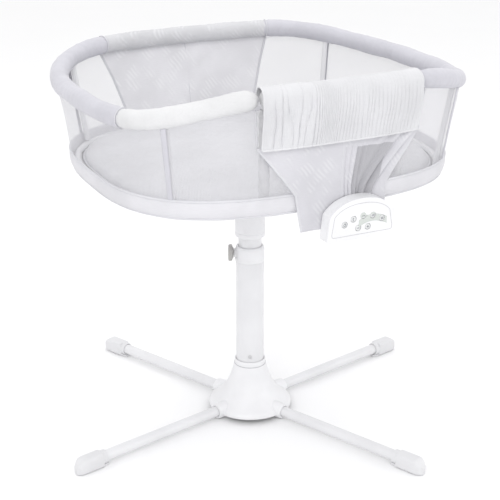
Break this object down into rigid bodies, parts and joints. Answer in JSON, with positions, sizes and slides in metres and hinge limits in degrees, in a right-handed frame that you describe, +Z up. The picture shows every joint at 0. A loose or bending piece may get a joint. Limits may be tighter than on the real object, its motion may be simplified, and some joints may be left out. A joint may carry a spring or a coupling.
{
  "type": "baby cradle",
  "caption": "Free-standing bedside cradle: mesh-walled oval basket with a padded rim and a press-down bedside wall, swivelling on a height-adjustable column with a four-legged base.",
  "frame": {"origin": "on the floor, on the axis of the column, which is the middle of the base", "axes": "+Z up, +X along the basket's long side, -Y out of the bedside wall; the base is turned 26 degrees clockwise under the basket at rest"},
  "size_m": [0.9484, 0.902, 0.854],
  "materials": {
    "steel_white": "satin powder coat",
    "zinc": "plated",
    "shell_plastic": "fine moulded satin",
    "nylon": "natural",
    "foot_plastic": "fine texture",
    "knob_grey": "fine texture",
    "board": "sealed fibreboard",
    "mattress_cover": "quilted cotton",
    "rim_fabric": "plain weave over foam",
    "printed_fabric": "plain weave with a soft tone-on-tone print",
    "gathered_fabric": "gathered soft weave",
    "netting": "open mesh",
    "circuit": "solder mask",
    "button_grey": "soft touch"
  },
  "bodies": {
    "base": {"hub_shell": "shell_plastic", "hub_core": "zinc", "hub_base_plate": "shell_plastic", "column_screw": "zinc", "column_outer": "steel_white", "clamp_collar": "shell_plastic", "leg_front_right": "steel_white", "leg_rear_right": "steel_white", "leg_rear_left": "steel_white", "leg_front_left": "steel_white", "foot_front_right": "foot_plastic", "foot_rear_right": "foot_plastic", "foot_rear_left": "foot_plastic", "foot_front_left": "foot_plastic"},
    "lock": {"lock_pin": "zinc", "lock_knob": "knob_grey"},
    "mast": {"column_inner": "steel_white", "mast_bush": "nylon", "swivel_socket": "shell_plastic", "swivel_bush_lower": "nylon", "swivel_bush_upper": "nylon"},
    "basket": {"swivel_spindle": "zinc", "swivel_plate": "steel_white", "tray_shell": "shell_plastic", "mattress_board": "board", "mattress_pad": "mattress_cover", "lower_frame": "steel_white", "post_front_right": "steel_white", "post_rear_right": "steel_white", "post_rear_left": "steel_white", "post_front_left": "steel_white", "rim_frame": "steel_white", "rim_pad": "rim_fabric", "rear_panel": "printed_fabric", "mesh_rear_right": "netting", "mesh_rear_left": "netting", "mesh_front_left": "netting", "mesh_front_right": "netting", "apron_upper": "printed_fabric", "apron_lower": "printed_fabric", "rail_guide_left": "nylon", "rail_guide_right": "nylon", "rail_spring_left": "zinc", "rail_spring_right": "zinc", "control_back": "shell_plastic", "control_face": "shell_plastic", "circuit_board": "circuit", "speaker": "zinc"},
    "bedside_rail": {"rail_frame": "steel_white", "rail_pad": "gathered_fabric", "rail_band": "gathered_fabric"},
    "button_1": {"button_1": "button_grey"},
    "button_2": {"button_2": "button_grey"},
    "button_3": {"button_3": "button_grey"},
    "button_4": {"button_4": "button_grey"},
    "button_5": {"button_5": "button_grey"},
    "button_6": {"button_6": "button_grey"},
    "button_7": {"button_7": "button_grey"}
  },
  "joints": [
    {"name": "height_slide", "type": "slide", "parent": "base", "child": "mast", "axis": [0, 0, 1], "range_m": [0, 0.18]},
    {"name": "basket_swivel", "type": "hinge", "parent": "mast", "child": "basket", "pos_m": [0, 0, 0.574], "axis": [0, 0, 1], "continuous": true},
    {"name": "lock_pull", "type": "slide", "parent": "base", "child": "lock", "axis": [-0.8988, 0.4384, 0], "range_m": [0, 0.006], "stiffness_N_per_m": 1500, "springref_m": -0.002},
    {"name": "bedside_wall_lower", "type": "slide", "parent": "basket", "child": "bedside_rail", "axis": [0, 0, -1], "range_m": [0, 0.07], "stiffness_N_per_m": 260, "springref_m": -0.06, "deforming": ["apron_upper", "rail_spring_left", "rail_spring_right"]},
    {"name": "button_1_press", "type": "slide", "parent": "basket", "child": "button_1", "axis": [0, 1, 0], "range_m": [0, 0.0012], "stiffness_N_per_m": 600, "springref_m": -0.0008},
    {"name": "button_2_press", "type": "slide", "parent": "basket", "child": "button_2", "axis": [0, 1, 0], "range_m": [0, 0.0012], "stiffness_N_per_m": 600, "springref_m": -0.0008},
    {"name": "button_3_press", "type": "slide", "parent": "basket", "child": "button_3", "axis": [0, 1, 0], "range_m": [0, 0.0012], "stiffness_N_per_m": 600, "springref_m": -0.0008},
    {"name": "button_4_press", "type": "slide", "parent": "basket", "child": "button_4", "axis": [0, 1, 0], "range_m": [0, 0.0012], "stiffness_N_per_m": 600, "springref_m": -0.0008},
    {"name": "button_5_press", "type": "slide", "parent": "basket", "child": "button_5", "axis": [0, 1, 0], "range_m": [0, 0.0012], "stiffness_N_per_m": 600, "springref_m": -0.0008},
    {"name": "button_6_press", "type": "slide", "parent": "basket", "child": "button_6", "axis": [0, 1, 0], "range_m": [0, 0.0012], "stiffness_N_per_m": 600, "springref_m": -0.0008},
    {"name": "button_7_press", "type": "slide", "parent": "basket", "child": "button_7", "axis": [0, 1, 0], "range_m": [0, 0.0012], "stiffness_N_per_m": 600, "springref_m": -0.0008}
  ]
}
